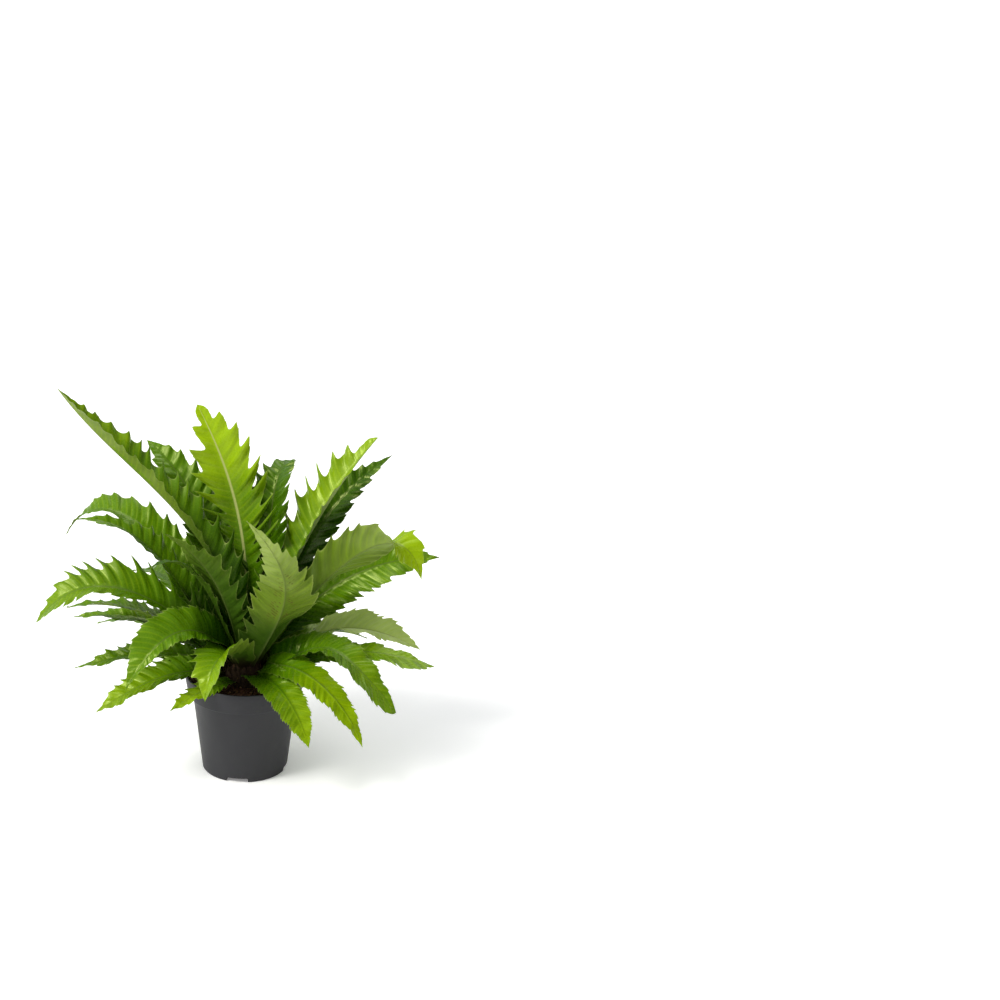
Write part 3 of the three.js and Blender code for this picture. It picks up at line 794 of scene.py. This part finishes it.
def potPiece():
    make = potMake
    rim, top = make["rim"]
    lip, wall, steps = make["lip"], make["wall"], make["roundSteps"]
    footRound = make["baseRound"]
    base = make["base"]
    collar, collarHeight = make["collarFoot"]
    bodyTop, bodyHeight = make["bodyTop"]
    soft = 0.5 * mm
    outside = [(0, 0)] + arc((base - footRound, footRound), footRound, -90, 0, steps)
    outside += [(bodyTop - 0.1 * mm, bodyHeight - soft), (bodyTop + 0.1 * mm, bodyHeight - 0.1 * mm)]
    outside += [(collar - soft, collarHeight - 0.25 * mm)]
    outside += arc((collar - soft, collarHeight + soft), soft, -60, 0, 3)
    outside += [(rim - 0.25 * mm, top - 6 * mm)]
    outside += arc((rim - lip, top - lip), lip, 0, 180, 2 * steps)
    inside = [(rim - wall - 0.3 * mm, top - lip - 2 * mm), (collar + 0.8 * mm - wall, collarHeight + 2 * mm)]
    inside += [(bodyTop - wall, bodyHeight - 1 * mm), (base - wall, make["floor"] + 1 * mm)]
    inside += [(base - wall - 1 * mm, make["floor"]), (0, make["floor"])]
    verts, faces = turnedMesh(outside + inside, make["sides"])
    piece = makePiece("potShell", verts, faces, [potFinish()])
    cutAway(piece, notchCutters(0))
    piece.data.polygons.foreach_set("use_smooth", [True] * len(piece.data.polygons))
    piece.data.set_sharp_from_angle(angle=math.radians(32))
    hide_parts("pot")
    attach(piece, "root")
    return piece


potPiece()
print("pot: turned and notched")

# Peat and rootstock

peatMake = {
    "top": 96 * mm,
    "gap": 0.3 * mm,  # all round, between the peat and the pot
    "bottom": 2.3 * mm,
    # The stem's hole: its radius and the height that it goes straight down to, then those of its bottom
    "crownHole": (24.3 * mm, 93 * mm, 20.3 * mm, 87.7 * mm),
    "rings": 46,
    "bumps": ((9 * mm, 1.1 * mm), (3.4 * mm, 0.7 * mm), (1.3 * mm, 0.35 * mm)),  # how wide and how high
    "crumbs": 1500,
    "crumbSize": (0.5 * mm, 2.3 * mm),
    "fibres": 150,
    "fibreLength": (5 * mm, 17 * mm),
    "fibreSteps": 8,
    "dark": (0.028, 0.011, 0.006),
    "brown": (0.11, 0.042, 0.02),
    "straw": (0.26, 0.15, 0.07),
}
rootMake = {
    "middle": 93 * mm,
    "radius": 24 * mm,
    "foot": (88 * mm, 20 * mm),  # height and radius
    "bump": 0.9 * mm,
    "scales": 420,
    "scaleTurn": 2.39996,  # angle from one to the next, in radians
    "scaleLength": (7 * mm, 14 * mm),
    "scaleHalf": (1.0 * mm, 2.1 * mm),
    "scaleLift": (0.1, 0.5),  # how far the end stands off, as a share of the length
    "core": (0.02, 0.01, 0.005),
    "dark": (0.03, 0.016, 0.007),
    "papery": (0.1, 0.055, 0.024),
}


class Heap:
    # Many small closed shapes in one mesh, with a random number from 0 to 1 kept for each
    def __init__(self):
        self.verts, self.faces, self.lots, self.ends = [], [], [], []

    def add(self, verts, faces, lot, ends=None):
        first = len(self.verts)
        self.verts += [tuple(vert) for vert in verts]
        self.faces += [tuple(first + n for n in face) for face in faces]
        self.lots += [lot] * len(verts)
        self.ends += [0] * len(verts) if ends is None else list(ends)

    def strand(self, middle, across, out, half, thick, lot):
        # A flattened rod through the points in middle, four-sided, thin towards both ends
        corners = np.stack([middle - across * half, middle + out * thick,
                            middle + across * half, middle - out * thick], 1)
        rows = len(corners)
        faces = [(4 * r + n, 4 * r + (n + 1) % 4, 4 * r + 4 + (n + 1) % 4, 4 * r + 4 + n)
                 for r in range(rows - 1) for n in range(4)]
        faces += [(3, 2, 1, 0), tuple(4 * (rows - 1) + n for n in range(4))]
        self.add(corners.reshape(-1, 3), faces, lot, np.repeat(np.linspace(0, 1, rows), 4))

    def piece(self, name, material, sharp):
        made = makePiece(name, self.verts, self.faces, [material], None, sharp)
        setNumbers(made, "lot", self.lots)
        setNumbers(made, "ends", self.ends)
        return made


def unevenness(x, y, z, sizes):
    # Cloudy height in metres, from layers of (how wide, how high)
    return sum(high * cloud.noise(Vector((x, y, z)) / wide) for wide, high in sizes)


def lumpShape():
    # Points and faces of a round lump of radius 1
    shape = bmesh.new()
    bmesh.ops.create_icosphere(shape, subdivisions=1, radius=1)
    verts = np.array([vert.co[:] for vert in shape.verts])
    faces = [tuple(vert.index for vert in face.verts) for face in shape.faces]
    shape.free()
    return verts, faces


def earthFinish(name, dark, middle, light, grainSize):
    # Dark between the crumbs or scales, and light at their ends and on one in seven
    finish = Finish(name)
    lot = finish.read("lot")
    grain = finish.noise(grainSize, 4.0, 0.65)
    speckle = finish.noise(grainSize * 3, 3.0, 0.7)
    colour = finish.mix((lot * 0.55 + grain * 0.9 - 0.35).clamped(), dark, middle)
    colour = finish.mix(lot.step(0.86, 1.0) * 0.7 + finish.read("ends") * 0.25, colour, light)
    normal = finish.bump(grain + speckle * 0.5, 0.7, 0.0006)
    return finish.finished(finish.principled({
        "Base Color": colour, "Roughness": 0.72 + grain * 0.25, "Normal": normal,
        "Specular IOR Level": 0.25,
    }))


def scatterCrumbs(heap, draw, inner, outer):
    # Crumbs on the peat, between the stem's hole and the pot
    make = peatMake
    least, most = make["crumbSize"]
    shape, faces = lumpShape()
    for n in range(make["crumbs"]):
        size = least + (most - least) * draw.random() ** 2.5
        away = math.sqrt(draw.uniform(inner**2, (outer - size) ** 2))
        heading = draw.uniform(0, math.tau)
        x, y = away * math.cos(heading), away * math.sin(heading)
        turn = np.array(Matrix.Rotation(draw.uniform(0, 6.3), 3, draw.normal(size=3)))
        squash = draw.uniform(0.5, 1.1, 3)
        lump = shape * (1 + 0.28 * draw.normal(size=(len(shape), 1))) * squash * size
        height = make["top"] + unevenness(x, y, 0, make["bumps"]) + size * draw.uniform(0, 0.5)
        heap.add(lump @ turn.T + (x, y, height), faces, draw.random())


def scatterFibres(heap, draw, inner, outer):
    # Root fibres that wander over the peat
    make = peatMake
    steps = make["fibreSteps"]
    for n in range(make["fibres"]):
        away, heading = math.sqrt(draw.uniform(inner**2, (outer - 3 * mm) ** 2)), draw.uniform(0, 6.3)
        spot = np.array([away * math.cos(heading), away * math.sin(heading)])
        course, length, points = draw.uniform(0, 6.3), draw.uniform(*make["fibreLength"]) / steps, []
        for step in range(steps + 1):
            ground = make["top"] + unevenness(*spot, 0, make["bumps"])
            points.append((*spot, ground + draw.uniform(0.3, 1.3) * mm))
            spot = spot + length * np.array([math.cos(course), math.sin(course)])
            spot = spot * min(1, (outer - 1 * mm) / np.linalg.norm(spot))
            course += draw.normal() * 0.45
        points = np.array(points)
        forward = unit(np.gradient(points, axis=0) + 1e-9)
        across = unit(np.cross(forward, (0, 0, 1)))
        taper = 1 - np.linspace(-0.9, 0.9, steps + 1)[:, None] ** 4
        thick = draw.uniform(0.1, 0.24) * mm * taper
        heap.strand(points, across, np.cross(across, forward), thick, thick, 0.8 + 0.2 * draw.random())


def peatPiece():
    make = peatMake
    draw = np.random.default_rng(11)
    wall = potMake["wall"] + make["gap"]
    edge = potMake["rim"][0] - 1.7 * mm - wall
    holeTop, holeMiddle, holeFoot, holeBottom = make["crownHole"]
    profile = [(0, make["bottom"]), (potMake["base"] - wall, make["bottom"])]
    profile += [(potMake["bodyTop"][0] - wall, potMake["bodyTop"][1] - 0.9 * mm)]
    profile += [(potMake["collarFoot"][0] + 0.6 * mm - wall, potMake["collarFoot"][1] + 2.2 * mm)]
    profile += [(edge, make["top"] - 1.2 * mm)]
    for n in range(make["rings"]):
        profile.append((edge + (holeTop - edge) * (n + 0.3) / make["rings"], make["top"]))
    profile += [(holeTop, make["top"]), (holeTop, holeMiddle), (holeFoot, holeBottom), (0, holeBottom)]
    verts, faces = turnedMesh(profile, 144)
    bumpy = [(x, y, z + unevenness(x, y, 0, make["bumps"]) * (z > make["top"] - 0.1 * mm))
             for x, y, z in verts]
    body = makePiece("peatBody", bumpy, faces, [])
    cutAway(body, notchCutters(wall))
    mesh = body.data
    heap = Heap()
    heap.add([vert.co[:] for vert in mesh.vertices], [face.vertices[:] for face in mesh.polygons], 0.4)
    bpy.data.objects.remove(body)
    scatterCrumbs(heap, draw, holeTop, edge)
    scatterFibres(heap, draw, holeTop, edge)
    finish = earthFinish("peatEarth", make["dark"], make["brown"], make["straw"], 700.0)
    piece = heap.piece("peatSoil", finish, 40)
    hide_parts("peat")
    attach(piece, "root")
    return piece


def rootPiece():
    make = rootMake
    draw = np.random.default_rng(23)
    radius, middle = make["radius"], make["middle"]
    footHeight, footRadius = make["foot"]
    profile = [(0, footHeight), (footRadius, footHeight)] + arc((0, middle), radius, 0, 89, 24)
    verts, faces = turnedMesh(profile + [(0, middle + radius)], 96)
    core = []
    for x, y, z in verts:
        grow = 1 + cloud.noise(Vector((x, y, z)) / (4 * mm)) * make["bump"] / radius
        core.append((x * grow, y * grow, z))
    heap = Heap()
    heap.add(core, faces, 0)
    for n in range(make["scales"]):
        # Spread evenly over the dome, lowest first
        slope = math.asin(min(0.995, 0.02 + n / make["scales"]))
        heading = n * make["scaleTurn"] + draw.normal() * 0.12
        out = direction(math.degrees(heading), math.degrees(slope))
        rise = direction(math.degrees(heading), math.degrees(slope) + 90)
        lean = draw.normal() * 0.35
        side = np.cross(rise, out)
        rise = unit(rise + side * lean)
        side = np.cross(rise, out)
        length, half = draw.uniform(*make["scaleLength"]), draw.uniform(*make["scaleHalf"])
        along = np.linspace(0, 1, 8)[:, None]
        lift = draw.uniform(*make["scaleLift"]) * length
        points = out * (radius - 0.8 * mm) + (0, 0, middle) + rise * length * along
        points = points + out * (lift * along**1.7 - 0.5 * length**2 / radius * along**2 * 0.6)
        points = points + side * draw.normal() * 0.12 * length * along**2
        shape = half * np.maximum(np.sin(math.pi * (0.12 + 0.88 * along) ** 0.8), 0.03)
        heap.strand(points, np.broadcast_to(side, points.shape), np.broadcast_to(out, points.shape),
                    shape, 0.16 * mm * (1.05 - along), 0.25 + 0.75 * draw.random())
    finish = earthFinish("rootBrown", make["core"], make["dark"], make["papery"], 350.0)
    piece = heap.piece("rootScales", finish, 50)
    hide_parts("rootstock")
    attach(piece, "root")
    return piece


peatPiece()
rootPiece()
print("peat and rootstock: crumbs, fibres and scales")


# Floor, lamps, camera

def floorFinish():
    finish = Finish("paleFloor")
    clouds = finish.noise(1.5, 2.0)
    colour = finish.mix(clouds * 0.08, studio["floorColour"], studio["floorClouds"])
    return finish.finished(finish.principled({
        "Base Color": colour, "Roughness": 0.9,
        "Emission Color": (1, 1, 1, 1), "Emission Strength": studio["floorGlow"],
    }))


def addStudio():
    half = studio["floorSize"] / 2
    corners = [(-half, -half, 0), (half, -half, 0), (half, half, 0), (-half, half, 0)]
    floor = makePiece("studioFloor", corners, [(0, 1, 2, 3)], [floorFinish()])
    world = bpy.data.worlds.new("studioSky")
    world.use_nodes = True
    tree = world.node_tree
    sky = tree.nodes["Background"]
    sky.inputs["Color"].default_value = (*studio["sky"], 1)
    side = tree.nodes.new("ShaderNodeSeparateXYZ")
    across = tree.nodes.new("ShaderNodeMapRange")
    tree.links.new(tree.nodes.new("ShaderNodeTexCoord").outputs["Generated"], side.inputs[0])
    tree.links.new(side.outputs["X"], across.inputs["Value"])
    tree.links.new(across.outputs[0], sky.inputs["Strength"])
    left, right = studio["skyStrength"]
    for name, value in (("From Min", -1), ("From Max", 1), ("To Min", left), ("To Max", right)):
        across.inputs[name].default_value = value
    bpy.context.scene.world = world
    for name, source, width, strength, colour in studio["suns"]:
        light = bpy.data.lights.new(name, "SUN")
        light.angle = math.radians(width)
        light.energy = strength
        light.color = colour
        sun = bpy.data.objects.new(name, light)
        sun.rotation_euler = Vector(source).to_track_quat("Z", "Y").to_euler()
        bpy.context.scene.collection.objects.link(sun)


def addCamera():
    camera = bpy.data.cameras.new("camera")
    camera.lens = cameraSpot["lens"]
    camera.sensor_width = cameraSpot["sensor"]
    holder = bpy.data.objects.new("camera", camera)
    turn = Matrix([cameraSpot["right"], cameraSpot["up"], cameraSpot["back"]]).transposed()
    holder.matrix_world = Matrix.Translation(cameraSpot["place"]) @ turn.to_4x4()
    bpy.context.scene.collection.objects.link(holder)
    bpy.context.scene.camera = holder


addStudio()
addCamera()
bpy.context.scene.view_settings.view_transform = "Standard"
bpy.context.scene.view_settings.look = "None"
print("studio: floor, %d suns and camera" % len(studio["suns"]))
